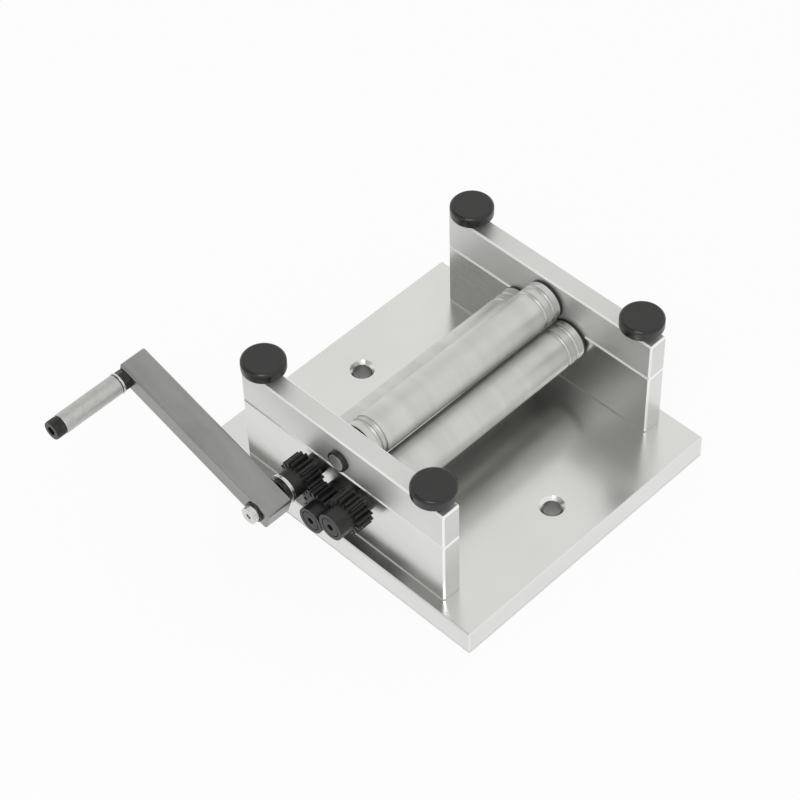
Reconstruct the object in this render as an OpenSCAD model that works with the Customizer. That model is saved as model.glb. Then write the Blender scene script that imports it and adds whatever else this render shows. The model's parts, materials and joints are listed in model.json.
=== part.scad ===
// Hand cranked three-roll sheet bending machine.
// X runs along the rollers with the crank at -X, the sheet goes in at -Y, Z is up.
// The origin is the centre of the base plate's underside.

/* [Base plate] */
// Length of the base along the rollers
base_len = 150; // [140:1:200]
// Depth of the base along the sheet's path
base_dep = 160; // [140:1:200]
// Thickness of the base
base_t = 12; // [10:0.5:20]
// Diameter of the two bench holes
bench_hole_d = 8.4; // [6:0.1:10]
// Distance between the bench holes, front to back
bench_hole_gap = 116; // [90:1:124]
// Width of the countersink round each bench hole
bench_sink_w = 1.6; // [0.5:0.1:2.5]

/* [Side plates] */
// Depth of the side plates along the sheet's path
plate_dep = 120; // [114:1:136]
// Thickness of the side plates
plate_t = 10; // [9.5:0.5:14]
// Height of the lower side plates
lower_h = 35; // [32:1:50]
// Height of the upper side plates
upper_h = 20; // [18:0.5:30]
// Strip of base left outside each side plate
plate_margin = 6; // [4:0.5:12]
// Bevel along the edges of all plates
bevel = 0.8; // [0.3:0.1:1.2]

/* [Rollers] */
// Diameter of the three rollers
roller_d = 19.5; // [18:0.5:21]
// Distance between the two lower rollers' axes
low_spacing = 29; // [26:0.5:31]
// Depth of the lower rollers' axes under the seam between the plates
low_drop = 6; // [6:0.1:8]
// Gap between the top roller and each lower roller with the plates closed
roller_gap = 0.7; // [0.6:0.1:3]
// Diameter of the roller journals
journal_d = 8; // [7.8:0.1:9]
// Diameter of the wire that the ring grooves fit
groove_d = 2; // [1:0.1:2.4]
// Pitch of the ring grooves at the crank's end
near_groove_pitch = 2.5; // [2.5:0.1:5]
// Pitch of the ring grooves at the far end
far_groove_pitch = 5; // [2.5:0.1:6]
// Distance from the roller's end to its first groove
groove_start = 4; // [3:0.5:8]
// Number of ring grooves at each end of a roller
groove_count = 2; // [1:1:4]
// How far the top roller's journals stand out of their bushes
top_journal_out = 0.4; // [0.2:0.1:2]

/* [Bushes] */
// Wall of the bushes round the journals
bush_wall = 1; // [0.6:0.1:1.4]
// How far the top roller's bushes stand out of the side plates
bush_out = 2.2; // [0.5:0.1:4]
// Thickness of the bush flanges beside the rollers
flange_t = 1.2; // [0.8:0.1:2]
// Gap between flanges of neighbouring bushes
flange_gap = 0.8; // [0.4:0.1:2]
// Height of the step that keeps a flange off the plates
step_t = 0.3; // [0.3:0.1:0.6]
// Width of that step round the bush
step_w = 0.6; // [0.4:0.1:0.9]

/* [Gears] */
// Module of the gear teeth
gear_module = 1; // [1:0.05:1.2]
// Number of teeth on the gears of the two lower rollers
gear_teeth = 16; // [16:1:20]
// Number of teeth on the idler between them
idler_teeth = 19; // [16:1:20]
// Face width of the teeth
gear_face = 8.6; // [6:0.1:14]
// Play between meshing teeth
gear_play = 0.3; // [0.2:0.05:0.4]
// Gap between the gears and the side plate
gear_gap = 4.2; // [1:0.1:6]
// Diameter of the gear bosses
boss_d = 13; // [12.4:0.1:13.4]
// Length of the crank gear's and the idler's boss
boss_len = 6; // [5:0.5:12]
// How much longer the front gear's boss is
front_boss_more = 2; // [1:0.1:2.2]
// Diameter of the idler's axle
axle_d = 6; // [4:0.1:6.4]
// Diameter of the axle's collar against the side plate
axle_collar_d = 16; // [8:0.1:17]
// Diameter of the axle's threaded end
axle_thread_d = 5; // [3:0.1:5.6]
// Length of the axle's threaded end in the side plate
axle_thread_len = 8; // [5:0.5:8.5]
// Diameter of the screw in the front shaft's end
front_screw_d = 4; // [3:0.1:5]
// Length of that screw's thread in the shaft
front_screw_len = 10; // [6:0.5:20]
// Diameter of the screw heads sunk in the bosses of the idler and front gears
sunk_head_d = 9; // [8:0.1:9.6]
// Thickness of the sunk heads
sunk_head_t = 3; // [2.5:0.1:4]
// Width of the hexagonal sockets in the sunk heads
sunk_socket_w = 3; // [2:0.1:4]
// Depth of those sockets
sunk_socket_deep = 1.8; // [1:0.1:2.2]
// Diameter of the set screws in the bosses
set_screw_d = 3; // [2:0.1:4]
// Width of the set screws' hexagonal sockets
set_socket_w = 1.5; // [0.9:0.1:1.6]
// Depth of those sockets
set_socket_deep = 1.2; // [0.6:0.1:1.6]

/* [Crank] */
// Thickness of the washer beside the crank gear
crank_washer_t = 1.6; // [1:0.1:3]
// Diameter of that washer
crank_washer_d = 14; // [11:0.1:18]
// Thickness of the spacer between the washer and the arm
crank_spacer_t = 1.8; // [1:0.1:4]
// Diameter of that spacer
crank_spacer_d = 11; // [10:0.1:14]
// Thickness of the arm along the shaft
arm_t = 14; // [8:0.5:18]
// Width of the arm across its length
arm_w = 10; // [9:0.5:14]
// Distance from the shaft to the handle
arm_throw = 81.5; // [60:0.5:110]
// Arm beyond the shaft
hub_end = 7.5; // [6:0.5:10]
// Arm beyond the handle
grip_end = 4.8; // [4.5:0.1:10]
// Angle of the arm above the horizontal, at rest
arm_angle = 17; // [0:1:60]
// Width of the square on the shaft's end
square_w = 5.6; // [5:0.1:5.6]
// Diameter of the screw that holds the arm
crank_screw_d = 4; // [3:0.1:4.4]
// Length of that screw's thread in the shaft
crank_screw_len = 10; // [6:0.5:20]
// Diameter of that screw's head
crank_head_d = 8; // [6:0.1:9]
// Height of that screw's head
crank_head_h = 3; // [2.5:0.1:5]
// Width of that head's hexagonal socket
crank_socket_w = 2.5; // [2:0.1:4]
// Depth of that socket
crank_socket_deep = 2; // [1:0.1:2.2]
// Diameter of the washer under that screw
end_washer_d = 9.6; // [8.6:0.1:10]
// Thickness of the washer under that screw
end_washer_t = 1; // [0.5:0.1:2]

/* [Handle] */
// Diameter of the handle's screw
grip_screw_d = 5; // [4:0.1:6]
// Diameter of the screw's head
grip_head_d = 8.6; // [7.5:0.1:10]
// Height of the screw's head
grip_head_h = 5; // [3:0.1:7]
// Width of that head's hexagonal socket
grip_socket_w = 4; // [3:0.1:5]
// Depth of that socket
grip_socket_deep = 2.5; // [1:0.1:2.8]
// Diameter of the turning sleeve
sleeve_d = 9.2; // [8:0.1:14]
// Length of the turning sleeve
sleeve_len = 31; // [20:1:50]
// Thickness of the nut against the arm
nut_t = 4; // [2.5:0.1:6]
// Width of the nut across its flats
nut_w = 8; // [7.5:0.1:10]
// Diameter of the washer beside the nut
grip_washer_d = 10; // [8:0.1:12]
// Thickness of that washer
grip_washer_t = 1; // [0.5:0.1:2]

/* [Knobs] */
// Diameter of the knobs
knob_d = 20; // [16:0.5:24]
// Height of the knob's head
knob_h = 5.6; // [4:0.1:9]
// Bevel round the knob's rim
knob_bevel = 1; // [0.3:0.1:1.6]
// Diameter of the knob's neck
neck_d = 12; // [9:0.1:14]
// Height of the knob's neck
neck_h = 3.4; // [1:0.1:6]
// Distance from the ends of the plates to the knobs
knob_inset = 10; // [8:0.5:14]
// Diameter of the knob's stud
stud_d = 5; // [4:0.1:5.4]
// Length of the stud under the seam
stud_reach = 22; // [18:0.5:26]
// Depth of the stud in the knob
stud_in_knob = 6; // [4:0.1:7]

/* [Lift springs] */
// Depth of the spring pockets under the seam
pocket_deep = 10; // [8:0.5:12]
// Diameter of the spring wire
wire_d = 0.7; // [0.5:0.05:0.8]
// Number of curls in a spring
curls = 6; // [4:1:7]

/* [Base screws] */
// Diameter of the screws under the base
base_screw_d = 5; // [4:0.1:6]
// Length of their thread in the side plates
base_screw_grip = 16; // [8:0.5:18]
// Diameter of their countersunk heads
base_head_d = 9.2; // [8:0.1:10]
// Straight rim of those heads
base_head_rim = 0.4; // [0.2:0.1:0.8]
// How far the heads lie under the base's lower face
base_head_sunk = 0.4; // [0.2:0.1:1]
// Width of their hexagonal sockets
base_socket_w = 3; // [2:0.1:4]
// Depth of those sockets
base_socket_deep = 2.1; // [1:0.1:2.4]
// Distance between the two screws of a side plate
base_screw_gap = 70; // [56:1:80]

/* [Fits] */
// Radial clearance of turning fits
run_fit = 0.05; // [0.02:0.01:0.08]
// Radial clearance of the studs in the upper plates and of other loose holes
loose_fit = 0.3; // [0.3:0.05:0.6]
// Gap beside pieces that turn against flat faces
side_play = 0.2; // [0.1:0.05:0.4]
// Room past the ends of screws in their holes
thread_end_gap = 1; // [0.5:0.1:2]

/* [Hidden] */
$fn = 64;
eps = 0.01;
// How far cuts run past the faces that they open
over = 1;

// Heights
seam_z = base_t + lower_h;
plate_top_z = seam_z + upper_h;
low_z = seam_z - low_drop;
roller_reach = roller_d + roller_gap;
top_z = low_z + sqrt(pow(roller_reach, 2) - pow(low_spacing / 2, 2));
pocket_z = seam_z - pocket_deep;

// Places along the rollers, measured from the centre outwards
plate_out_x = base_len / 2 - plate_margin;
plate_in_x = plate_out_x - plate_t;
plate_mid_x = plate_out_x - plate_t / 2;
flange_back_x = plate_in_x - step_t;
flange_front_x = flange_back_x - flange_t;
roller_end_x = flange_front_x - side_play;
upper_bush_x = plate_out_x + bush_out;
gear_in_x = plate_out_x + gear_gap;
gear_stop_x = gear_in_x - side_play;
gear_out_x = gear_in_x + gear_face;
boss_end_x = gear_out_x + boss_len;
front_boss_x = boss_end_x + front_boss_more;
spacer_x = boss_end_x + crank_washer_t;
arm_in_x = spacer_x + crank_spacer_t;
arm_out_x = arm_in_x + arm_t;
nut_end_x = arm_out_x + nut_t;
sleeve_in_x = nut_end_x + grip_washer_t + side_play;
sleeve_out_x = sleeve_in_x + sleeve_len;
grip_head_x = sleeve_out_x + side_play;

// Places across the machine
back_y = low_spacing / 2;
front_y = -low_spacing / 2;
knob_y = plate_dep / 2 - knob_inset;

// Bushes and flanges
journal_hole_d = journal_d + 2 * run_fit;
bush_d = journal_d + 2 * bush_wall;
step_d = bush_d + 2 * step_w;
flange_d = roller_reach - flange_gap;

// Gear train
gear_reach = gear_module * (gear_teeth + idler_teeth) / 2;
idler_drop = sqrt(pow(gear_reach, 2) - pow(low_spacing / 2, 2));
idler_z = low_z - idler_drop;
crank_to_idler = atan2(idler_z - low_z, -back_y);
idler_to_front = atan2(low_z - idler_z, front_y);
crank_phase = crank_to_idler;
idler_phase = crank_to_idler + 180 + 180 / idler_teeth;
front_phase = idler_to_front + 180 + 180 / gear_teeth
  + (idler_to_front - idler_phase) * idler_teeth / gear_teeth;
pressure_angle = 20;
root_depth = 1.25 * gear_module;
flank_steps = 5;
sunk_hole_d = sunk_head_d + 2 * loose_fit;
front_floor_x = front_boss_x - sunk_head_t;
axle_hole_d = axle_d + 2 * run_fit;
set_screw_x = (gear_out_x + front_floor_x) / 2;
set_screw_len = boss_d / 2 - journal_d / 2 - 2 * run_fit;
hex_corner = 1 / cos(30);

// Arm and handle
square_len = arm_t - side_play;
square_hole_w = square_w + 2 * run_fit;
crank_hole_d = crank_screw_d + 2 * run_fit;
crank_head_x = arm_out_x + end_washer_t;
grip_y = back_y + arm_throw * cos(arm_angle);
grip_z = low_z + arm_throw * sin(arm_angle);
grip_hole_d = grip_screw_d + 2 * run_fit;

// Knobs and base screws
stud_hole_d = stud_d + 2 * run_fit;
knob_low_z = plate_top_z + run_fit;
base_head_top = base_head_sunk + base_head_rim;
base_head_cone = (base_head_d - base_screw_d) / 2;

// Springs and the pockets that hold them
spring_d = stud_d + 2 * loose_fit + 2 * wire_d;
pocket_d = spring_d + 2 * loose_fit;
curl_rings = 8;
wire_sides = 6;
spring_r = (spring_d - wire_d) / 2;
spring_low = pocket_z + wire_d / 2 + eps;
spring_high = seam_z - wire_d / 2 - eps;
spring_rings = curls * curl_rings;
wire_rise = (spring_high - spring_low) / spring_rings;
wire_slope = atan2(wire_rise, spring_r * 2 * PI / curl_rings);

// Finishes
plate_silver = [0.80, 0.80, 0.78];
roller_silver = [0.72, 0.72, 0.70];
arm_grey = [0.60, 0.60, 0.59];
black_plastic = [0.10, 0.10, 0.10];
screw_silver = [0.76, 0.76, 0.75];
screw_black = [0.13, 0.13, 0.13];

// A round bar along X between two places
module bar_x(d, x0, x1, y, z) {
  translate([min(x0, x1), y, z]) rotate([0, 90, 0]) cylinder(d = d, h = abs(x1 - x0));
}

// A hexagonal bar along X, given its width across the flats
module hex_x(w, x0, x1, y, z) {
  translate([min(x0, x1), y, z]) rotate([0, 90, 0])
    cylinder(d = w * hex_corner, h = abs(x1 - x0), $fn = 6);
}

// A flat ring along X
module ring_x(d, hole_d, x0, x1, y, z) {
  difference() {
    bar_x(d, x0, x1, y, z);
    bar_x(hole_d, min(x0, x1) - over, max(x0, x1) + over, y, z);
  }
}

// A rectangle with cut corners
module cut_rectangle(a, b, c) {
  polygon([
    [-a / 2 + c, -b / 2], [a / 2 - c, -b / 2], [a / 2, -b / 2 + c], [a / 2, b / 2 - c],
    [a / 2 - c, b / 2], [-a / 2 + c, b / 2], [-a / 2, b / 2 - c], [-a / 2, -b / 2 + c]
  ]);
}

// A block on Z = 0 with all its edges bevelled
module bevelled_block(sx, sy, sz) {
  intersection() {
    linear_extrude(sz) cut_rectangle(sx, sy, bevel);
    translate([0, sy / 2, sz / 2]) rotate([90, 0, 0]) linear_extrude(sy) cut_rectangle(sx, sz, bevel);
    translate([-sx / 2, 0, sz / 2]) rotate([90, 0, 90]) linear_extrude(sx) cut_rectangle(sy, sz, bevel);
  }
}

// Both knob places along one plate
module at_knobs(x) {
  for (y = [-knob_y, knob_y]) translate([x, y, 0]) children();
}

// Both base screw places under one plate
module at_base_screws(x) {
  for (y = [-base_screw_gap / 2, base_screw_gap / 2]) translate([x, y, 0]) children();
}

module bench_hole() {
  translate([0, 0, -over]) cylinder(d = bench_hole_d, h = base_t + 2 * over);
  translate([0, 0, base_t - bench_sink_w])
    cylinder(d1 = bench_hole_d, d2 = bench_hole_d + 2 * (bench_sink_w + over), h = bench_sink_w + over);
}

module base_screw_hole() {
  shank_d = base_screw_d + 2 * loose_fit;
  head_d = base_head_d + 2 * loose_fit;
  translate([0, 0, -over]) cylinder(d = shank_d, h = base_t + 2 * over);
  translate([0, 0, -over]) cylinder(d = head_d, h = over + base_head_top);
  translate([0, 0, base_head_top]) cylinder(d1 = head_d, d2 = shank_d, h = base_head_cone);
}

module base_plate() {
  color(plate_silver) difference() {
    bevelled_block(base_len, base_dep, base_t);
    for (y = [-bench_hole_gap / 2, bench_hole_gap / 2]) translate([0, y, 0]) bench_hole();
    for (side = [-1, 1]) at_base_screws(side * plate_mid_x) base_screw_hole();
  }
}

// Countersunk screws from under the base into one lower plate
module base_screws(x) {
  color(screw_black) at_base_screws(x) difference() {
    union() {
      translate([0, 0, base_head_sunk]) cylinder(d = base_head_d, h = base_head_rim);
      translate([0, 0, base_head_top]) cylinder(d1 = base_head_d, d2 = base_screw_d, h = base_head_cone);
      translate([0, 0, base_head_top + eps])
        cylinder(d = base_screw_d, h = base_t + base_screw_grip - base_head_top - eps);
    }
    translate([0, 0, base_head_sunk - over])
      cylinder(d = base_socket_w * hex_corner, h = base_socket_deep + over, $fn = 6);
  }
}

module near_base_screws() {
  base_screws(-plate_mid_x);
}

module far_base_screws() {
  base_screws(plate_mid_x);
}

module lower_plate(x) {
  difference() {
    translate([x, 0, base_t]) bevelled_block(plate_t, plate_dep, lower_h);
    for (y = [front_y, back_y]) bar_x(bush_d, x - plate_t, x + plate_t, y, low_z);
    at_knobs(x) {
      translate([0, 0, pocket_z]) cylinder(d = pocket_d, h = pocket_deep + over);
      translate([0, 0, seam_z - stud_reach - thread_end_gap])
        cylinder(d = stud_hole_d, h = stud_reach + thread_end_gap + over);
    }
    at_base_screws(x) translate([0, 0, base_t - over])
      cylinder(d = base_screw_d + 2 * run_fit, h = base_screw_grip + thread_end_gap + over);
  }
}

module near_lower_plate() {
  axle_hole_end = plate_out_x - axle_thread_len - thread_end_gap;
  color(plate_silver) difference() {
    lower_plate(-plate_mid_x);
    bar_x(axle_thread_d + 2 * run_fit, -plate_out_x - over, -axle_hole_end, 0, idler_z);
  }
}

module far_lower_plate() {
  color(plate_silver) lower_plate(plate_mid_x);
}

module upper_plate(x) {
  color(plate_silver) difference() {
    translate([x, 0, seam_z]) bevelled_block(plate_t, plate_dep, upper_h);
    bar_x(bush_d, x - plate_t, x + plate_t, 0, top_z);
    at_knobs(x) translate([0, 0, seam_z - over])
      cylinder(d = stud_d + 2 * loose_fit, h = upper_h + 2 * over);
  }
}

module near_upper_plate() {
  upper_plate(-plate_mid_x);
}

module far_upper_plate() {
  upper_plate(plate_mid_x);
}

// A flanged bush in the plate on one side, -1 near or 1 far, as far as a place outside the plate
module bush(side, end_x, y, z) {
  color(black_plastic) difference() {
    union() {
      bar_x(bush_d, side * flange_front_x, side * end_x, y, z);
      bar_x(step_d, side * flange_front_x, side * plate_in_x, y, z);
      bar_x(flange_d, side * flange_front_x, side * flange_back_x, y, z);
    }
    bar_x(journal_hole_d, side * (flange_front_x - over), side * (end_x + over), y, z);
  }
}

// These also keep the gears of the lower rollers off the plate
module near_lower_bushes() {
  for (y = [front_y, back_y]) bush(-1, gear_stop_x, y, low_z);
}

module far_lower_bushes() {
  for (y = [front_y, back_y]) bush(1, plate_out_x, y, low_z);
}

module near_upper_bush() {
  bush(-1, upper_bush_x, 0, top_z);
}

module far_upper_bush() {
  bush(1, upper_bush_x, 0, top_z);
}

// The ground barrel of a roller, with ring grooves for wire at both ends
module barrel(y, z) {
  groove_x = roller_end_x - groove_start;
  difference() {
    bar_x(roller_d, -roller_end_x, roller_end_x, y, z);
    for (i = [0:groove_count - 1], x = [i * near_groove_pitch - groove_x, groove_x - i * far_groove_pitch])
      translate([x, y, z]) rotate([0, 90, 0]) rotate_extrude()
        translate([roller_d / 2, 0]) circle(d = groove_d);
  }
}

module top_roller() {
  color(roller_silver) union() {
    barrel(0, top_z);
    bar_x(journal_d, -upper_bush_x - top_journal_out, upper_bush_x + top_journal_out, 0, top_z);
  }
}

// The front roller's shaft ends just short of the screw head that holds its gear
module front_roller() {
  shaft_end_x = front_floor_x - side_play;
  screw_hole_x = front_floor_x - front_screw_len - thread_end_gap;
  color(roller_silver) difference() {
    union() {
      barrel(front_y, low_z);
      bar_x(journal_d, -shaft_end_x, plate_out_x, front_y, low_z);
    }
    bar_x(front_screw_d + 2 * run_fit, -shaft_end_x - over, -screw_hole_x, front_y, low_z);
  }
}

// The arm's own frame: x along the arm to the handle, y up across it, z outwards from its inner face
module in_arm() {
  translate([-arm_in_x, back_y, low_z]) rotate([arm_angle, 0, 0]) rotate([90, 0, -90])
    mirror([1, 0, 0]) children();
}

// The back roller's shaft goes on through its gear to the square that carries the arm
module crank_roller() {
  screw_hole_x = arm_out_x - crank_screw_len - thread_end_gap;
  color(roller_silver) difference() {
    union() {
      barrel(back_y, low_z);
      bar_x(journal_d, -arm_in_x, plate_out_x, back_y, low_z);
      in_arm() translate([0, 0, square_len / 2 - eps])
        cube([square_w, square_w, square_len], center = true);
    }
    bar_x(crank_hole_d, -arm_out_x, -screw_hole_x, back_y, low_z);
  }
}

// Radii of a gear with a given number of teeth
function pitch_r(teeth) = gear_module * teeth / 2;
function base_r(teeth) = pitch_r(teeth) * cos(pressure_angle);

// How far a tooth's flank has turned at radius r from where it leaves the base circle
function involute(r, teeth) =
  let (a = r > base_r(teeth) ? acos(base_r(teeth) / r) : 0)
  tan(a) * 180 / PI - a;

// Half the angle that a tooth fills at radius r
function tooth_half(r, teeth) =
  90 / teeth - gear_play / 4 / pitch_r(teeth) * 180 / PI
    + involute(pitch_r(teeth), teeth) - involute(r, teeth);

module gear_outline(teeth) {
  root_r = pitch_r(teeth) - root_depth;
  flank_step = (pitch_r(teeth) + gear_module - base_r(teeth)) / (flank_steps - 1);
  rows = [for (i = [0:flank_steps]) i == 0 ? root_r : base_r(teeth) + flank_step * (i - 1)];
  polygon([for (k = [0:teeth - 1], i = [0:2 * flank_steps + 1])
    let (
      rising = i <= flank_steps,
      r = rows[rising ? i : 2 * flank_steps + 1 - i],
      a = 360 * k / teeth + (rising ? -1 : 1) * tooth_half(r, teeth)
    ) [r * cos(a), r * sin(a)]
  ]);
}

// Teeth and boss of one gear on the crank side, the boss as far as a given place
module gear_body(y, z, teeth, phase, end_x) {
  translate([-gear_out_x, y, z]) rotate([90, 0, 90]) rotate(phase)
    linear_extrude(gear_face) gear_outline(teeth);
  bar_x(boss_d, -end_x, -gear_out_x + eps, y, z);
}

// A gear on a roller's shaft, with a hole for its set screw under the boss
module shaft_gear(y, phase, end_x) {
  difference() {
    gear_body(y, low_z, gear_teeth, phase, end_x);
    bar_x(journal_hole_d, -end_x - over, -gear_in_x + over, y, low_z);
    translate([-set_screw_x, y, low_z]) rotate([180, 0, 0])
      cylinder(d = set_screw_d + 2 * run_fit, h = boss_d / 2 + over);
  }
}

// The seat of a screw head in the end of a gear's boss
module sunk_seat(y, z, end_x) {
  bar_x(sunk_hole_d, -end_x - over, -end_x + sunk_head_t, y, z);
}

module crank_gear() {
  color(black_plastic) shaft_gear(back_y, crank_phase, boss_end_x);
}

module front_gear() {
  color(black_plastic) difference() {
    shaft_gear(front_y, front_phase, front_boss_x);
    sunk_seat(front_y, low_z, front_boss_x);
  }
}

module idler_gear() {
  color(black_plastic) difference() {
    gear_body(0, idler_z, idler_teeth, idler_phase, boss_end_x);
    bar_x(axle_hole_d, -boss_end_x - over, -gear_in_x + over, 0, idler_z);
    sunk_seat(0, idler_z, boss_end_x);
  }
}

// A socket head with its outer face flush with the boss, shortened by play under it
module sunk_head(y, z, end_x, play) {
  difference() {
    bar_x(sunk_head_d, -end_x, -end_x + sunk_head_t - play, y, z);
    hex_x(sunk_socket_w, -end_x - over, -end_x + sunk_socket_deep, y, z);
  }
}

// Shoulder screw that the idler turns on, with a collar that keeps the gear off the plate
module idler_axle() {
  head_x = boss_end_x - sunk_head_t + side_play;
  color(screw_black) union() {
    sunk_head(0, idler_z, boss_end_x, side_play);
    bar_x(axle_d, -head_x - eps, -gear_stop_x + eps, 0, idler_z);
    bar_x(axle_collar_d, -gear_stop_x, -plate_out_x, 0, idler_z);
    bar_x(axle_thread_d, -plate_out_x - eps, -plate_out_x + axle_thread_len, 0, idler_z);
  }
}

module front_gear_screw() {
  color(screw_black) union() {
    sunk_head(front_y, low_z, front_boss_x, 0);
    bar_x(front_screw_d, -front_floor_x - eps, -front_floor_x + front_screw_len, front_y, low_z);
  }
}

module set_screw(y) {
  color(screw_black) translate([-set_screw_x, y, low_z - journal_d / 2 - run_fit]) rotate([180, 0, 0])
    difference() {
      cylinder(d = set_screw_d, h = set_screw_len);
      translate([0, 0, set_screw_len - set_socket_deep])
        cylinder(d = set_socket_w * hex_corner, h = set_socket_deep + over, $fn = 6);
    }
}

module crank_set_screw() {
  set_screw(back_y);
}

module front_set_screw() {
  set_screw(front_y);
}

module crank_washer() {
  color(screw_silver) ring_x(crank_washer_d, journal_hole_d, -spacer_x, -boss_end_x, back_y, low_z);
}

module crank_spacer() {
  color(screw_black) ring_x(crank_spacer_d, journal_hole_d, -arm_in_x, -spacer_x, back_y, low_z);
}

// The bar is bevelled like the plates; the square and the handle's screw go through it
module crank_arm() {
  color(arm_grey) in_arm() difference() {
    translate([(arm_throw + grip_end - hub_end) / 2, 0, 0])
      bevelled_block(arm_throw + grip_end + hub_end, arm_w, arm_t);
    translate([0, 0, arm_t / 2]) cube([square_hole_w, square_hole_w, arm_t + 2 * over], center = true);
    translate([arm_throw, 0, -over]) cylinder(d = grip_hole_d, h = arm_t + 2 * over);
  }
}

module crank_screw() {
  head_end_x = crank_head_x + crank_head_h;
  color(screw_silver) difference() {
    union() {
      bar_x(crank_head_d, -head_end_x, -crank_head_x, back_y, low_z);
      bar_x(crank_screw_d, -crank_head_x - eps, -arm_out_x + crank_screw_len, back_y, low_z);
    }
    hex_x(crank_socket_w, -head_end_x - over, -head_end_x + crank_socket_deep, back_y, low_z);
  }
}

module crank_end_washer() {
  color(screw_black) ring_x(end_washer_d, crank_hole_d, -crank_head_x, -arm_out_x, back_y, low_z);
}

module handle_screw() {
  head_end_x = grip_head_x + grip_head_h;
  color(screw_black) difference() {
    union() {
      bar_x(grip_head_d, -head_end_x, -grip_head_x, grip_y, grip_z);
      bar_x(grip_screw_d, -grip_head_x - eps, -arm_in_x, grip_y, grip_z);
    }
    hex_x(grip_socket_w, -head_end_x - over, -head_end_x + grip_socket_deep, grip_y, grip_z);
  }
}

module handle_nut() {
  color(screw_black) difference() {
    hex_x(nut_w, -nut_end_x, -arm_out_x, grip_y, grip_z);
    bar_x(grip_hole_d, -nut_end_x - over, -arm_out_x + over, grip_y, grip_z);
  }
}

module handle_washer() {
  color(screw_silver)
    ring_x(grip_washer_d, grip_hole_d, -nut_end_x - grip_washer_t, -nut_end_x, grip_y, grip_z);
}

module handle_sleeve() {
  color(screw_silver) ring_x(sleeve_d, grip_hole_d, -sleeve_out_x, -sleeve_in_x, grip_y, grip_z);
}

// A round knob standing just clear of its plate
module knob(x, y) {
  color(black_plastic) translate([x, y, knob_low_z]) difference() {
    rotate_extrude() polygon([
      [0, 0], [neck_d / 2, 0], [neck_d / 2, neck_h], [knob_d / 2 - knob_bevel / 2, neck_h],
      [knob_d / 2, neck_h + knob_bevel / 2], [knob_d / 2, neck_h + knob_h - knob_bevel],
      [knob_d / 2 - knob_bevel, neck_h + knob_h], [0, neck_h + knob_h]
    ]);
    translate([0, 0, -over]) cylinder(d = stud_hole_d, h = stud_in_knob + over);
  }
}

module stud(x, y) {
  color(screw_silver) translate([x, y, seam_z - stud_reach])
    cylinder(d = stud_d, h = stud_reach + upper_h + stud_in_knob);
}

module near_front_knob() {
  knob(-plate_mid_x, -knob_y);
}

module near_back_knob() {
  knob(-plate_mid_x, knob_y);
}

module far_front_knob() {
  knob(plate_mid_x, -knob_y);
}

module far_back_knob() {
  knob(plate_mid_x, knob_y);
}

module near_front_stud() {
  stud(-plate_mid_x, -knob_y);
}

module near_back_stud() {
  stud(-plate_mid_x, knob_y);
}

module far_front_stud() {
  stud(plate_mid_x, -knob_y);
}

module far_back_stud() {
  stud(plate_mid_x, knob_y);
}

// Points along the wire of a spring, and one ring of corners round each
function wire_turn(i) = 360 * i / curl_rings;
function wire_point(i) = [
  spring_r * cos(wire_turn(i)), spring_r * sin(wire_turn(i)), spring_low + wire_rise * i
];
function wire_corner(i, k) =
  let (
    a = wire_turn(i),
    out = wire_d / 2 * cos(360 * k / wire_sides),
    up = wire_d / 2 * sin(360 * k / wire_sides)
  )
  wire_point(i) + out * [cos(a), sin(a), 0]
    + up * [sin(a) * sin(wire_slope), -cos(a) * sin(wire_slope), cos(wire_slope)];

// Least gap between the curls of a spring
spring_self_gap = min([for (i = [0:spring_rings], j = [i + curl_rings / 2:1:spring_rings])
  norm(wire_point(i) - wire_point(j))]) - wire_d;
echo(spring_self_gap = spring_self_gap);

module spring() {
  n = wire_sides;
  last = spring_rings * n;
  corners = [for (i = [0:spring_rings], k = [0:n - 1]) wire_corner(i, k)];
  skin = [for (i = [0:spring_rings - 1], k = [0:n - 1], half = [0, 1])
    let (a = i * n + k, b = i * n + (k + 1) % n)
    half == 0 ? [a, b, b + n] : [a, b + n, a + n]];
  low_cap = [for (k = [1:n - 2]) [0, k + 1, k]];
  high_cap = [for (k = [1:n - 2]) [last, last + k, last + k + 1]];
  polyhedron(corners, concat(skin, low_cap, high_cap));
}

module lift_springs(x) {
  color(screw_silver) at_knobs(x) spring();
}

module near_lift_springs() {
  lift_springs(-plate_mid_x);
}

module far_lift_springs() {
  lift_springs(plate_mid_x);
}

base_plate();
near_lower_plate();
far_lower_plate();
near_upper_plate();
far_upper_plate();
near_lower_bushes();
far_lower_bushes();
near_upper_bush();
far_upper_bush();
top_roller();
front_roller();
crank_roller();
crank_gear();
idler_gear();
front_gear();
idler_axle();
front_gear_screw();
crank_set_screw();
front_set_screw();
crank_washer();
crank_spacer();
crank_arm();
crank_screw();
crank_end_washer();
handle_screw();
handle_nut();
handle_washer();
handle_sleeve();
near_front_knob();
near_back_knob();
far_front_knob();
far_back_knob();
near_front_stud();
near_back_stud();
far_front_stud();
far_back_stud();
near_lift_springs();
far_lift_springs();
near_base_screws();
far_base_screws();
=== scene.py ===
# %% [markdown]
# # A hand cranked sheet roller, finished
# The machine comes packed as a frame of solids: base, side plates, rollers, gears, crank, knobs and
# screws, each at its real size and place. The solids are right in shape, but their edges are perfectly
# sharp and their faces have no finish. This lesson gives each of them the small rounds, threads and
# knurls that a machinist leaves, and then the metal and plastic that the eye expects.

# %% Load the frame
import json
import math

import bmesh
import bpy
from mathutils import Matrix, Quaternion, Vector


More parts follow.
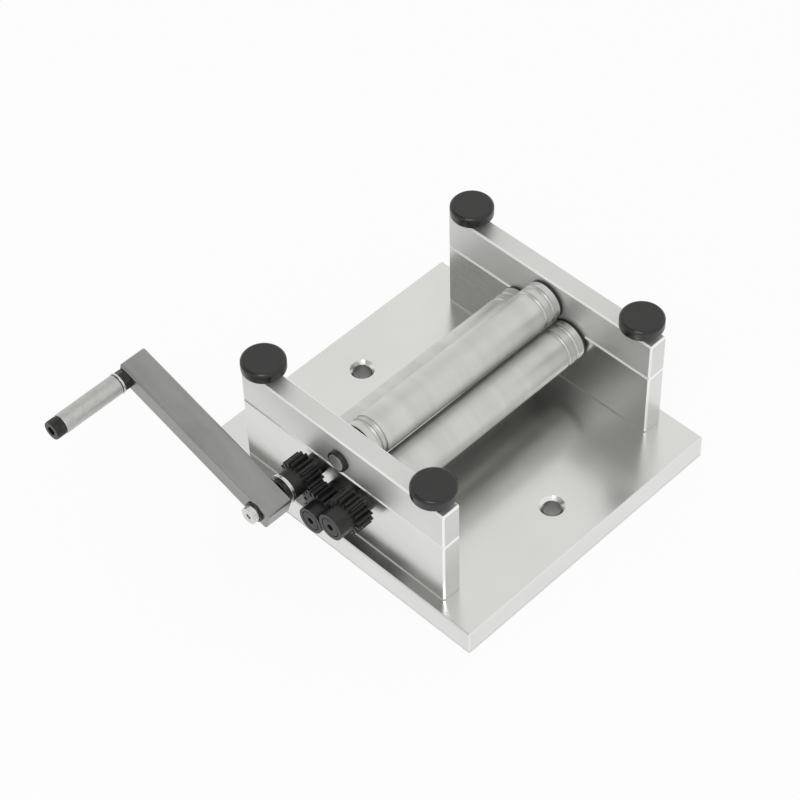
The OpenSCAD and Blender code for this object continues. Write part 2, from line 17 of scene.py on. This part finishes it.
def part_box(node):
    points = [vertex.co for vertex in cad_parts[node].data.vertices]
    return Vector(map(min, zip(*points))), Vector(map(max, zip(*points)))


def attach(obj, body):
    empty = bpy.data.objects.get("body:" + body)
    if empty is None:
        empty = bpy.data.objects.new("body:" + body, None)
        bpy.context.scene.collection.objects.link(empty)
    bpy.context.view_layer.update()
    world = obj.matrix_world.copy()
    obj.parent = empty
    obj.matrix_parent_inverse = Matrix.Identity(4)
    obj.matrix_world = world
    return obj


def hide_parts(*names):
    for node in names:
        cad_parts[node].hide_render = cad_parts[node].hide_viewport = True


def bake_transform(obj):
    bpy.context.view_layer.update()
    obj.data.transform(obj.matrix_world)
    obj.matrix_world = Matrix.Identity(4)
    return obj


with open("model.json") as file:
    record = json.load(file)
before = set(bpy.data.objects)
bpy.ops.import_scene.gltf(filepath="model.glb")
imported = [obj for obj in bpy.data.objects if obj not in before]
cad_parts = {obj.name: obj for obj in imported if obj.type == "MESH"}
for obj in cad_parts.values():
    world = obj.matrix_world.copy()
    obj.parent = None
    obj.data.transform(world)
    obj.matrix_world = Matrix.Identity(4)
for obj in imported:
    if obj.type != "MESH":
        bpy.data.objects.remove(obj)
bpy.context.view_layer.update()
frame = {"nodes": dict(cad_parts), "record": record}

nodes = frame["nodes"]
mm = 0.001

# %% [markdown]
# ## Camera
# The photograph was taken from the crank's corner, high up, with a long lens. A camera could be placed
# by eye, but here its place, aim and small roll were worked out from the corners of the plates, so that
# the render can be laid over the photograph. The lens is given for the square frame's 36 mm width.

# %% Photograph's camera
camera_place = Vector((-0.5184, -0.5018, 0.8494))
camera_aim = Vector((-0.0337, -0.0008, 0.0642))
camera_roll = math.radians(-1.92)
camera_lens = 112.3
camera_data = bpy.data.cameras.new("photo_camera")
camera_data.lens = camera_lens
camera_data.sensor_width = 36.0
camera_data.clip_start = 0.05
camera = bpy.data.objects.new("photo_camera", camera_data)
camera.location = camera_place
camera.rotation_mode = "QUATERNION"
camera.rotation_quaternion = (
    (camera_aim - camera_place).to_track_quat("-Z", "Y") @ Quaternion((0, 0, 1), camera_roll)
)
bpy.context.scene.collection.objects.link(camera)
bpy.context.scene.camera = camera
bpy.context.scene.view_settings.view_transform = "Standard"
print("camera at", [round(v, 3) for v in camera.location], "lens", camera_data.lens)

# %% [markdown]
# ## Small helpers for shaders
# A material here is a short chain of nodes. Writing every node and link by hand hides what matters, so
# two helpers do the wiring: one makes a node and sets its inputs, and one starts a material with a
# Principled shader.

# %% Shader helpers
def add_node(tree, kind, links=None, **settings):
    """A shader node with its properties set and its inputs linked or given."""
    node = tree.nodes.new(kind)
    for name, value in settings.items():
        setattr(node, name, value)
    for socket, value in (links or {}).items():
        target = node.inputs[socket]
        if isinstance(value, bpy.types.NodeSocket):
            tree.links.new(value, target)
        else:
            target.default_value = value
    return node


def start_material(name, **values):
    """A material with one Principled shader whose plain values are set on its own sockets."""
    material = bpy.data.materials.new(name)
    material.use_nodes = True
    shader = material.node_tree.nodes["Principled BSDF"]
    for socket, value in values.items():
        shader.inputs[socket.replace("_", " ")].default_value = value
    return material, material.node_tree, shader

# %% [markdown]
# ## Noise in millimetres
# Every finish on this machine varies a little: grain, rings, clouds, scuffs. A painted picture could show
# that, but noise on the object's own coordinates needs no unwrapping and has a real size. One helper gives
# such noise, and three turn it into a range of values, a tone or a bump.

# %% Noise, tones and bumps
def stretched_noise(tree, size_mm, turn=(0, 0, 0), detail=3.0, roughness=0.5):
    """Noise whose grains measure size_mm along X, Y and Z, after an optional turn."""
    place = add_node(tree, "ShaderNodeTexCoord").outputs["Object"]
    grain = [1.0 / (s * mm) for s in size_mm]
    turned = add_node(tree, "ShaderNodeMapping", {"Vector": place, "Rotation": turn})
    scaled = add_node(tree, "ShaderNodeMapping", {"Vector": turned.outputs[0], "Scale": grain})
    noise = add_node(tree, "ShaderNodeTexNoise", {
        "Vector": scaled.outputs[0], "Scale": 1.0, "Detail": detail, "Roughness": roughness})
    return noise.outputs["Fac"]


def spread(tree, value, low, high, start=0.3, end=0.7):
    """A noise value brought from its usual range to the range low to high."""
    node = add_node(tree, "ShaderNodeMapRange", {
        "Value": value, "From Min": start, "From Max": end, "To Min": low, "To Max": high})
    return node.outputs["Result"]


def tint(tree, amount, dark, light):
    """A colour between dark and light."""
    node = add_node(tree, "ShaderNodeMix", data_type="RGBA")
    tree.links.new(amount, node.inputs["Factor"])
    node.inputs["A"].default_value = (*dark, 1)
    node.inputs["B"].default_value = (*light, 1)
    return node.outputs["Result"]


def bump(tree, shader, height, depth_mm, strength):
    """A bump of a real depth on the shader."""
    node = add_node(tree, "ShaderNodeBump", {
        "Height": height, "Distance": depth_mm * mm, "Strength": strength})
    tree.links.new(node.outputs[0], shader.inputs["Normal"])

# %% [markdown]
# ## Bright plates
# The base and the side plates are bright aluminium. The base is polished: it shows soft but clear images
# of what stands on it. The lower side plates are a little duller and the upper ones are rubbed to a
# satin, which scatters part of the light like paper does. One function makes all three, so only the
# roughness, the share of metal and the painted highlight on the cut edges differ. Grain and clouds vary
# them. The painted highlight could be set face by face, but the slant of the normals already tells the cut
# edges apart.

# %% Plate materials
plate_dark = (0.700, 0.700, 0.686)
plate_light = (0.745, 0.745, 0.733)
# Painted highlight on the cut edges: its blue is scaled by this warmth, and the two slants below bound its
# mask.
edge_highlight_warmth = 0.99
edge_slant = 0.80
flat_slant = 0.97
plate_grain_rough = 0.025


def edge_highlight_mask(tree):
    """One on faces that slant across the three axes, as cut edges do, and nought on the flats; it marks where
    the edge highlight is painted.
    """
    normal = add_node(tree, "ShaderNodeTexCoord").outputs["Normal"]
    parts = add_node(tree, "ShaderNodeVectorMath", {0: normal}, operation="ABSOLUTE")
    split = add_node(tree, "ShaderNodeSeparateXYZ", {0: parts.outputs[0]})
    pair = add_node(tree, "ShaderNodeMath", {0: split.outputs[0], 1: split.outputs[1]}, operation="MAXIMUM")
    most = add_node(tree, "ShaderNodeMath", {0: pair.outputs[0], 1: split.outputs[2]}, operation="MAXIMUM")
    return spread(tree, most.outputs[0], 1.0, 0.0, edge_slant, flat_slant)


def bright_plate(name, rough_low, rough_high, metal, edge_highlight_tone):
    """Grained and clouded aluminium whose cut edges carry a painted highlight, a colour brighter than its
    faces.
    """
    material, tree, shader = start_material(name, Metallic=metal)
    clouds = stretched_noise(tree, (38, 30, 26), detail=2.0)
    grain = stretched_noise(tree, (0.25, 45, 0.25), detail=2.0)
    face = tint(tree, spread(tree, clouds, 0.0, 1.0), plate_dark, plate_light)
    # Painted highlight: the cut edges take a brighter colour than the faces.
    tone = add_node(tree, "ShaderNodeMix", {"Factor": edge_highlight_mask(tree)}, data_type="RGBA")
    tree.links.new(face, tone.inputs["A"])
    tone.inputs["B"].default_value = (edge_highlight_tone, edge_highlight_tone, edge_highlight_tone * edge_highlight_warmth, 1)
    tree.links.new(tone.outputs["Result"], shader.inputs["Base Color"])
    cloudy = spread(tree, clouds, rough_low, rough_high)
    fine = spread(tree, grain, -plate_grain_rough, plate_grain_rough)
    rough = add_node(tree, "ShaderNodeMath", {0: cloudy, 1: fine}, operation="ADD")
    tree.links.new(rough.outputs[0], shader.inputs["Roughness"])
    bump(tree, shader, grain, 0.003, 0.3)
    return material


# The last number is the tone of each finish's painted edge highlight.
base_finish = bright_plate("polished_base", 0.19, 0.25, 1.0, 0.78)
lower_finish = bright_plate("bright_lower_plate", 0.27, 0.33, 1.0, 0.95)
upper_finish = bright_plate("satin_upper_plate", 0.46, 0.54, 0.85, 0.95)
print("made", base_finish.name, lower_finish.name, upper_finish.name)

# %% [markdown]
# ## Ground rollers
# The rollers are steel bars ground between wheels. The wheel leaves fine rings round the bar, never
# lines along it. On the object's own coordinates, rings are noise that changes quickly along X and
# slowly round the bar, which one stretched noise gives without any unwrapping.

# %% Ground roller material
roller_dark = (0.60, 0.598, 0.585)
roller_light = (0.66, 0.658, 0.645)
ring_rough = 0.05


def ground_roller():
    """Satin steel with fine rings round X, faint bands along it and a patchy haze."""
    material, tree, shader = start_material("ground_roller", Metallic=1.0)
    rings = stretched_noise(tree, (0.18, 30, 30), detail=3.0)
    bands = stretched_noise(tree, (7, 60, 60), detail=1.0)
    haze = stretched_noise(tree, (18, 6, 6), detail=2.0)
    tone = tint(tree, spread(tree, bands, 0.0, 1.0), roller_dark, roller_light)
    tree.links.new(tone, shader.inputs["Base Color"])
    cloudy = spread(tree, haze, 0.40, 0.48)
    fine = spread(tree, rings, -ring_rough, ring_rough)
    rough = add_node(tree, "ShaderNodeMath", {0: cloudy, 1: fine}, operation="ADD")
    tree.links.new(rough.outputs[0], shader.inputs["Roughness"])
    bump(tree, shader, rings, 0.004, 0.5)
    return material


roller_finish = ground_roller()
print("made", roller_finish.name)

# %% [markdown]
# ## The crank's bar
# The crank arm is a drawn bar with a satin face. Its grain runs along the bar, which stands at an angle
# to the frame, so the noise is first turned by the arm's own angle, found from the handle's place.

# %% Crank arm material
hub_low, hub_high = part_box("crank_washer")
grip_low, grip_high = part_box("handle_sleeve")
hub = (hub_low + hub_high) / 2
grip = (grip_low + grip_high) / 2
arm_angle = math.atan2(grip.z - hub.z, grip.y - hub.y)
bar_dark = (0.29, 0.288, 0.284)
bar_light = (0.34, 0.338, 0.334)


def drawn_bar():
    """Grey satin metal whose grain and patches lie along the arm."""
    material, tree, shader = start_material("drawn_bar", Metallic=1.0)
    level = (-arm_angle, 0, 0)
    grain = stretched_noise(tree, (0.2, 40, 0.2), level, detail=3.0)
    patches = stretched_noise(tree, (9, 24, 9), level, detail=2.0)
    tone = tint(tree, spread(tree, patches, 0.0, 1.0), bar_dark, bar_light)
    tree.links.new(tone, shader.inputs["Base Color"])
    rough = spread(tree, grain, 0.30, 0.40)
    tree.links.new(rough, shader.inputs["Roughness"])
    bump(tree, shader, grain, 0.004, 0.5)
    return material


arm_finish = drawn_bar()
print("arm stands at", round(math.degrees(arm_angle), 1), "degrees")

# %% [markdown]
# ## Black plastic
# Knobs, gears and bushes are moulded or turned from black plastic. Black is hard to show: the form is
# carried by the soft sheen alone. The sheen breaks up in the fine grain of the mould and in faint grey
# scuffs, so the bump is fine and the colour is never quite one black.

# %% Black plastic material
def moulded_black(name, tone_dark, tone_light, rough_low, rough_high):
    """Black plastic with pores from the mould and scuffs that change tone and sheen together."""
    material, tree, shader = start_material(name, Metallic=0.0)
    pores = stretched_noise(tree, (0.22, 0.22, 0.22), detail=3.0)
    scuffs = stretched_noise(tree, (5, 5, 2), detail=4.0, roughness=0.6)
    tone = tint(tree, spread(tree, scuffs, 0.0, 1.0), tone_dark, tone_light)
    tree.links.new(tone, shader.inputs["Base Color"])
    tree.links.new(spread(tree, scuffs, rough_low, rough_high), shader.inputs["Roughness"])
    bump(tree, shader, pores, 0.012, 0.4)
    return material


knob_finish = moulded_black("knob_black", (0.010, 0.010, 0.010), (0.016, 0.016, 0.015), 0.24, 0.34)
gear_finish = moulded_black("gear_black", (0.008, 0.008, 0.008), (0.014, 0.014, 0.013), 0.34, 0.46)
print("made", knob_finish.name, gear_finish.name)

# %% [markdown]
# ## Screws, washers and springs
# Bright pieces are zinc plated steel: a neutral grey with a fine cloudy sheen. The handle's sleeve is
# plain turned steel, a little darker and much duller. Blackened screws keep some of the steel's
# reflection under a dark oxide. Spring wire is drawn, so it is smooth. One function makes all four.

# %% Small steel materials
def small_steel(name, dark, light, rough_low, rough_high, metallic):
    """Clouded steel with the fine rings of a lathe round X."""
    material, tree, shader = start_material(name, Metallic=metallic)
    clouds = stretched_noise(tree, (2.5, 2.5, 2.5), detail=3.0)
    turned = stretched_noise(tree, (0.12, 4, 4), detail=2.0)
    tone = tint(tree, spread(tree, clouds, 0.0, 1.0), dark, light)
    tree.links.new(tone, shader.inputs["Base Color"])
    tree.links.new(spread(tree, turned, rough_low, rough_high), shader.inputs["Roughness"])
    bump(tree, shader, turned, 0.003, 0.4)
    return material


bright_finish = small_steel("bright_steel", (0.60, 0.60, 0.59), (0.72, 0.72, 0.70), 0.22, 0.34, 1.0)
sleeve_finish = small_steel("sleeve_steel", (0.50, 0.50, 0.488), (0.58, 0.58, 0.566), 0.46, 0.52, 1.0)
oxide_finish = small_steel("oxide_steel", (0.020, 0.020, 0.020), (0.045, 0.045, 0.044), 0.30, 0.45, 0.6)
spring_finish = small_steel("spring_steel", (0.45, 0.45, 0.44), (0.55, 0.55, 0.53), 0.25, 0.35, 1.0)
print("made", bright_finish.name, sleeve_finish.name, oxide_finish.name, spring_finish.name)

# %% [markdown]
# ## Rounded edges
# No machined edge is a perfect corner: it is broken with a file, and the thin round catches the light
# as a bright line. The solids could be remodelled, but it is enough to copy each one, merge its loose
# triangles into clean faces and bevel its corners by a fraction of a millimetre. Smooth shading would
# bend the light on the wide flats too, so the normals are weighted by area, which keeps flats flat. The
# copy then stands for the solid, which stays behind for collision.

# %% Rounded copies of the solids
corner_angle = math.radians(28)
flat_angle = math.radians(0.4)
smooth_angle = math.radians(32)
merge_distance = 0.001 * mm
round_segments = 2
flat_weight = 90
node_body = {n: body for body, names in frame["record"]["behaviour"]["bodies"].items() for n in names}


def plain_mesh(piece):
    """The piece with its modifiers applied, as a plain mesh."""
    graph = bpy.context.evaluated_depsgraph_get()
    mesh = bpy.data.meshes.new_from_object(piece.evaluated_get(graph))
    piece.modifiers.clear()
    old = piece.data
    piece.data = mesh
    if isinstance(old, bpy.types.Mesh):
        bpy.data.meshes.remove(old)
    return mesh


def rounded_copy(node, radius_mm, finish):
    """A copy of a solid with its corners rounded, riding where the solid rides and standing for it."""
    mesh = nodes[node].data.copy()
    shape = bmesh.new()
    shape.from_mesh(mesh)
    bmesh.ops.remove_doubles(shape, verts=shape.verts, dist=merge_distance)
    bmesh.ops.dissolve_limit(shape, angle_limit=flat_angle, verts=shape.verts, edges=shape.edges)
    shape.to_mesh(mesh)
    shape.free()
    piece = bpy.data.objects.new(node + "_finished", mesh)
    bpy.context.scene.collection.objects.link(piece)
    bevel = piece.modifiers.new("round", "BEVEL")
    bevel.width = radius_mm * mm
    bevel.segments = round_segments
    bevel.limit_method = "ANGLE"
    bevel.angle_limit = corner_angle
    mesh = plain_mesh(piece)
    mesh.shade_smooth()
    mesh.set_sharp_from_angle(angle=smooth_angle)
    even = piece.modifiers.new("even", "WEIGHTED_NORMAL")
    even.weight = flat_weight
    even.keep_sharp = True
    mesh = plain_mesh(piece)
    mesh.materials.clear()
    mesh.materials.append(finish)
    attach(piece, node_body[node])
    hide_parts(node)
    return piece

# %% [markdown]
# ## How round each piece is
# What a hand grips is rounded most: the knobs, the handle's sleeve and the screw heads. Plates, gears and
# washers only lose their burr. One width for all would be shorter to write, but a wide one would eat the
# thin washers and a narrow one would leave the knobs hard, so each kind of piece has its own radius.

# %% Rounds and finishes
rounds_mm = [
    (0.15, base_finish, ["base_plate"]),
    (0.15, lower_finish, ["near_lower_plate", "far_lower_plate"]),
    (0.15, upper_finish, ["near_upper_plate", "far_upper_plate"]),
    (0.12, roller_finish, ["top_roller", "front_roller", "crank_roller"]),
    (0.20, arm_finish, ["crank_arm"]),
    (0.12, gear_finish, ["crank_gear", "idler_gear", "front_gear"]),
    (0.10, gear_finish, ["near_lower_bushes", "far_lower_bushes", "near_upper_bush", "far_upper_bush"]),
    (0.12, bright_finish, ["crank_washer"]),
    (0.12, oxide_finish, ["crank_spacer", "crank_end_washer"]),
    (0.12, bright_finish, ["handle_washer"]),
    (0.30, sleeve_finish, ["handle_sleeve"]),
    (0.25, bright_finish, ["crank_screw"]),
    (0.15, oxide_finish, ["idler_axle", "front_gear_screw", "handle_nut"]),
    (0.25, oxide_finish, ["handle_screw"]),
    (0.35, knob_finish, ["near_front_knob", "near_back_knob", "far_front_knob", "far_back_knob"]),
    (0.10, oxide_finish, ["crank_set_screw", "front_set_screw"]),
    (0.12, oxide_finish, ["near_base_screws", "far_base_screws"]),
]
for radius, finish, kind in rounds_mm:
    for node in kind:
        made = rounded_copy(node, radius, finish)
        print(made.name, len(made.data.polygons), "faces")

# %% [markdown]
# ## Recipes for pieces that wind or repeat
# A spring, a thread and a knurl are each one small outline carried along a path or set round a circle.
# They could be modelled by hand, but a Geometry Nodes group says it directly and can be cooked again
# with other sizes. Each group gets named inputs, ends by making its instances real and giving them a
# material, and is then baked to a plain mesh.

# %% Recipe helpers
def start_recipe(name, inputs):
    """A Geometry Nodes group with named inputs, and the sockets that give their values."""
    group = bpy.data.node_groups.new(name, "GeometryNodeTree")
    group.interface.new_socket("Geometry", in_out="OUTPUT", socket_type="NodeSocketGeometry")
    for label, kind in inputs.items():
        group.interface.new_socket(label, in_out="INPUT", socket_type="NodeSocket" + kind)
    return group, group.nodes.new("NodeGroupInput").outputs


def end_recipe(group, shape, finish):
    """The last steps of every recipe: real mesh, then a material."""
    real = add_node(group, "GeometryNodeRealizeInstances", {"Geometry": shape})
    done = add_node(group, "GeometryNodeSetMaterial", {"Geometry": real.outputs[0], "Material": finish})
    group.links.new(done.outputs[0], group.nodes.new("NodeGroupOutput").inputs[0])
    return group


def cook(name, group, values):
    """A plain mesh piece made by a recipe from these values."""
    piece = bpy.data.objects.new(name, bpy.data.meshes.new(name))
    bpy.context.scene.collection.objects.link(piece)
    recipe = piece.modifiers.new("recipe", "NODES")
    recipe.node_group = group
    for item in group.interface.items_tree:
        if item.in_out == "INPUT":
            recipe[item.identifier] = values[item.name]
    mesh = plain_mesh(piece)
    mesh.shade_smooth()
    mesh.set_sharp_from_angle(angle=smooth_angle)
    print(name, len(mesh.polygons), "faces")
    return piece

# %% [markdown]
# ## Lift springs
# A small spring round each stud pushes the upper plate up when its knob is eased. The wire is a circle
# carried along a spiral. Both springs of a plate are one piece, made by setting the wire on the two
# ends of a line.

# %% Lift springs
wire_radius = 0.35 * mm
coil_radius = 3.15 * mm
coil_curls = 6.0


def spring_recipe():
    group, given = start_recipe("lift_springs", {
        "Front Seat": "Vector", "Back Seat": "Vector", "Coil Radius": "Float", "Wire Radius": "Float",
        "Height": "Float", "Curls": "Float", "Finish": "Material"})
    path = add_node(group, "GeometryNodeCurveSpiral", {
        "Resolution": 36, "Rotations": given["Curls"], "Start Radius": given["Coil Radius"],
        "End Radius": given["Coil Radius"], "Height": given["Height"]})
    outline = add_node(group, "GeometryNodeCurvePrimitiveCircle", {
        "Resolution": 12, "Radius": given["Wire Radius"]})
    wire = add_node(group, "GeometryNodeCurveToMesh", {
        "Curve": path.outputs[0], "Profile Curve": outline.outputs[0], "Fill Caps": True})
    seats = add_node(group, "GeometryNodeMeshLine", {
        "Count": 2, "Start Location": given["Front Seat"], "Offset": given["Back Seat"]}, mode="END_POINTS")
    pair = add_node(group, "GeometryNodeInstanceOnPoints", {
        "Points": seats.outputs[0], "Instance": wire.outputs[0]})
    return end_recipe(group, pair.outputs[0], given["Finish"])


springs = spring_recipe()
for side in ("near", "far"):
    node = side + "_lift_springs"
    low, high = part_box(node)
    middle = (low + high) / 2
    reach = (high.y - low.y) / 2 - coil_radius - wire_radius
    piece = cook(node + "_wound", springs, {
        "Front Seat": (middle.x, -reach, low.z + wire_radius),
        "Back Seat": (middle.x, reach, low.z + wire_radius),
        "Coil Radius": coil_radius, "Wire Radius": wire_radius, "Height": high.z - low.z - 2 * wire_radius,
        "Curls": coil_curls, "Finish": spring_finish})
    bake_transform(piece)
    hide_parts(node)

# %% [markdown]
# ## Threaded studs
# The studs show between the plates when these are parted, so their thread is real. A diamond carried
# along a close spiral makes the ridge, and a plain core fills it. The diamond would slowly twist on the
# spiral, so the path's normals are told to keep level.

# %% Threaded studs
thread_pitch = 0.8 * mm
thread_ridge = thread_pitch / 2


def stud_recipe():
    group, given = start_recipe("threaded_stud", {
        "Foot": "Vector", "Top": "Vector", "Core Radius": "Float", "Ridge": "Float", "Length": "Float",
        "Turns": "Float", "Finish": "Material"})
    axis = add_node(group, "GeometryNodeCurvePrimitiveLine", {"Start": given["Foot"], "End": given["Top"]})
    round_bar = add_node(group, "GeometryNodeCurvePrimitiveCircle", {
        "Resolution": 40, "Radius": given["Core Radius"]})
    core = add_node(group, "GeometryNodeCurveToMesh", {
        "Curve": axis.outputs[0], "Profile Curve": round_bar.outputs[0], "Fill Caps": True})
    path = add_node(group, "GeometryNodeCurveSpiral", {
        "Resolution": 32, "Rotations": given["Turns"], "Start Radius": given["Core Radius"],
        "End Radius": given["Core Radius"], "Height": given["Length"]})
    level = add_node(group, "GeometryNodeSetCurveNormal", {"Curve": path.outputs[0]}, mode="Z_UP")
    diamond = add_node(group, "GeometryNodeCurvePrimitiveCircle", {"Resolution": 4, "Radius": given["Ridge"]})
    ridge = add_node(group, "GeometryNodeCurveToMesh", {
        "Curve": level.outputs[0], "Profile Curve": diamond.outputs[0], "Fill Caps": True})
    climb = add_node(group, "ShaderNodeCombineXYZ", {"Z": given["Ridge"]})
    foot = add_node(group, "ShaderNodeVectorMath", {0: given["Foot"], 1: climb.outputs[0]}, operation="ADD")
    placed = add_node(group, "GeometryNodeTransform", {
        "Geometry": ridge.outputs[0], "Translation": foot.outputs[0]})
    whole = group.nodes.new("GeometryNodeJoinGeometry")
    group.links.new(core.outputs[0], whole.inputs[0])
    group.links.new(placed.outputs[0], whole.inputs[0])
    return end_recipe(group, whole.outputs[0], given["Finish"])


studs = stud_recipe()
for side in ("near", "far"):
    for end in ("front", "back"):
        node = f"{side}_{end}_stud"
        low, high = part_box(node)
        middle = (low + high) / 2
        length = high.z - low.z - 2 * thread_ridge
        piece = cook(node + "_threaded", studs, {
            "Foot": (middle.x, middle.y, low.z), "Top": (middle.x, middle.y, high.z),
            "Core Radius": (high.x - low.x) / 2 - thread_ridge, "Ridge": thread_ridge, "Length": length,
            "Turns": length / thread_pitch, "Finish": bright_finish})
        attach(piece, node_body[node])
        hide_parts(node)

# %% [markdown]
# ## Knurl on the handle's screw
# A socket head has fine ridges round it for the fingers. One thin bar, set on every point of a circle,
# makes them all. The bars lie more than half sunk in the head, so only a rounded ridge of each one shows.

# %% Knurl
knurl_count = 36
knurl_radius = 0.22 * mm
knurl_out = 0.10 * mm


def knurl_recipe():
    group, given = start_recipe("knurl", {
        "Middle": "Vector", "Half": "Vector", "Back Half": "Vector", "Circle": "Float", "Bar": "Float",
        "Count": "Int", "Finish": "Material"})
    ring = add_node(group, "GeometryNodeMeshCircle", {"Vertices": given["Count"], "Radius": given["Circle"]})
    upright = add_node(group, "GeometryNodeTransform", {
        "Geometry": ring.outputs[0], "Translation": given["Middle"], "Rotation": (0, math.pi / 2, 0)})
    line = add_node(group, "GeometryNodeCurvePrimitiveLine", {
        "Start": given["Back Half"], "End": given["Half"]})
    outline = add_node(group, "GeometryNodeCurvePrimitiveCircle", {"Resolution": 8, "Radius": given["Bar"]})
    bar = add_node(group, "GeometryNodeCurveToMesh", {
        "Curve": line.outputs[0], "Profile Curve": outline.outputs[0], "Fill Caps": True})
    bars = add_node(group, "GeometryNodeInstanceOnPoints", {
        "Points": upright.outputs[0], "Instance": bar.outputs[0]})
    return end_recipe(group, bars.outputs[0], given["Finish"])


head_low, head_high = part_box("handle_screw")
head_length = 5.0 * mm
knurl_margin = 0.7 * mm
head_radius = (head_high.z - head_low.z) / 2
half_bar = head_length / 2 - knurl_margin
knurl = cook("handle_screw_knurl", knurl_recipe(), {
    "Middle": (head_low.x + head_length / 2, grip.y, grip.z),
    "Half": (half_bar, 0, 0), "Back Half": (-half_bar, 0, 0),
    "Circle": head_radius + knurl_out - knurl_radius, "Bar": knurl_radius, "Count": knurl_count,
    "Finish": oxide_finish})
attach(knurl, "crank")

# %% [markdown]
# ## Floor
# The machine stands on a plain white floor. More light would whiten the floor, but it would burn out the
# metal too, so the floor glows for the camera and for reflections alone, which a Light Path node can tell
# apart. The part under the base stays unlit, so that the bench holes look down into shade. Seen from below
# the floor is clear, so that the base's underside can be looked at too.

# %% Floor material
floor_tone = (0.84, 0.84, 0.835, 1)
floor_glow = 0.92
base_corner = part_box("base_plate")[1]


def beyond_base(tree):
    """One where the floor lies open and nought where the base, centred on the origin, covers it."""
    place = add_node(tree, "ShaderNodeTexCoord").outputs["Object"]
    shrunk = add_node(tree, "ShaderNodeVectorMath", {
        0: place, 1: (1 / base_corner.x, 1 / base_corner.y, 0)}, operation="MULTIPLY")
    spans = add_node(tree, "ShaderNodeVectorMath", {0: shrunk.outputs[0]}, operation="ABSOLUTE")
    span = add_node(tree, "ShaderNodeSeparateXYZ", {0: spans.outputs[0]})
    farther = add_node(tree, "ShaderNodeMath", {
        0: span.outputs["X"], 1: span.outputs["Y"]}, operation="MAXIMUM")
    in_open = add_node(tree, "ShaderNodeMath", {0: farther.outputs[0], 1: 1.0}, operation="GREATER_THAN")
    return in_open.outputs[0]


def glowing_floor():
    """A matt white that glows in the open for camera and reflections, and is clear from below."""
    material, tree, shader = start_material("white_floor", Roughness=0.9, Base_Color=floor_tone)
    rays = add_node(tree, "ShaderNodeLightPath").outputs
    seen = add_node(tree, "ShaderNodeMath", {
        0: rays["Is Camera Ray"], 1: rays["Is Glossy Ray"]}, operation="MAXIMUM")
    glow = add_node(tree, "ShaderNodeMath", {0: beyond_base(tree), 1: floor_glow}, operation="MULTIPLY")
    share = add_node(tree, "ShaderNodeMath", {0: seen.outputs[0], 1: glow.outputs[0]}, operation="MULTIPLY")
    white = add_node(tree, "ShaderNodeEmission", {"Color": (1, 1, 1, 1), "Strength": 1.0})
    both = add_node(tree, "ShaderNodeMixShader", {
        0: share.outputs[0], 1: shader.outputs[0], 2: white.outputs[0]})
    clear = add_node(tree, "ShaderNodeBsdfTransparent")
    from_below = add_node(tree, "ShaderNodeNewGeometry").outputs["Backfacing"]
    one_sided = add_node(tree, "ShaderNodeMixShader", {
        0: from_below, 1: both.outputs[0], 2: clear.outputs[0]})
    tree.links.new(one_sided.outputs[0], tree.nodes["Material Output"].inputs["Surface"])
    return material


floor_finish = glowing_floor()
print("made", floor_finish.name)

# %% [markdown]
# ## The floor itself
# One large square is enough. It lies a hair above the base's underside, because two faces at one height
# would flicker where the render can't tell which is in front.

# %% Floor
floor_half = 3.0
floor_rise = 0.02 * mm
floor_mesh = bpy.data.meshes.new("floor")
floor_corners = [(-floor_half, -floor_half, floor_rise), (floor_half, -floor_half, floor_rise),
                 (floor_half, floor_half, floor_rise), (-floor_half, floor_half, floor_rise)]
floor_mesh.from_pydata(floor_corners, [], [(0, 1, 2, 3)])
floor_mesh.materials.append(floor_finish)
floor = bpy.data.objects.new("floor", floor_mesh)
bpy.context.scene.collection.objects.link(floor)
print("floor", 2 * floor_half, "m square")

# %% [markdown]
# ## White tent
# Polished metal shows what is round it, so the white tent matters more than the lamp. It is white at the
# sides and open, and so darker, overhead towards the crank's back. The camera itself sees only white. A
# tent of real sheets could be built, but the world's own shader gives the same light without meshes.

# %% White tent
opening = Vector((-0.35, 0.30, 0.887)).normalized()
opening_rim = math.cos(math.radians(42))
opening_core = math.cos(math.radians(26))
opening_tone = (0.36, 0.36, 0.355)
wall_tone = (0.95, 0.95, 0.94)
world = bpy.data.worlds.new("tent")
bpy.context.scene.world = world
world.use_nodes = True
tree = world.node_tree
background = tree.nodes["Background"]
rays = add_node(tree, "ShaderNodeLightPath").outputs
direction = add_node(tree, "ShaderNodeTexCoord").outputs["Generated"]
towards = add_node(tree, "ShaderNodeVectorMath", {0: direction, 1: opening}, operation="DOT_PRODUCT")
wall_share = spread(tree, towards.outputs["Value"], 1.0, 0.0, opening_rim, opening_core)
tent = tint(tree, wall_share, opening_tone, wall_tone)
sky = add_node(tree, "ShaderNodeMix", {"Factor": rays["Is Camera Ray"]}, data_type="RGBA")
tree.links.new(tent, sky.inputs["A"])
sky.inputs["B"].default_value = (1, 1, 1, 1)
tree.links.new(sky.outputs["Result"], background.inputs["Color"])
background.inputs["Strength"].default_value = 1.0
print("tent open towards", [round(v, 2) for v in opening])

# %% [markdown]
# ## Lamp
# The small lamp is weak: it only gives the black knobs and gears their glints. A stronger one would draw
# hard shadows on the plates, which the photograph doesn't have.

# %% Lamp
lamp_place = Vector((-0.75, -0.35, 1.2))
lamp_aim = Vector((0, 0, 0.04))
lamp_width = 0.5
lamp_power = 4.0
lamp_data = bpy.data.lights.new("key_lamp", "AREA")
lamp_data.shape = "DISK"
lamp_data.size = lamp_width
lamp_data.energy = lamp_power
lamp = bpy.data.objects.new("key_lamp", lamp_data)
lamp.location = lamp_place
lamp.rotation_mode = "QUATERNION"
lamp.rotation_quaternion = (lamp_aim - lamp_place).to_track_quat("-Z", "Y")
bpy.context.scene.collection.objects.link(lamp)
print("lamp", lamp_data.energy, "W")
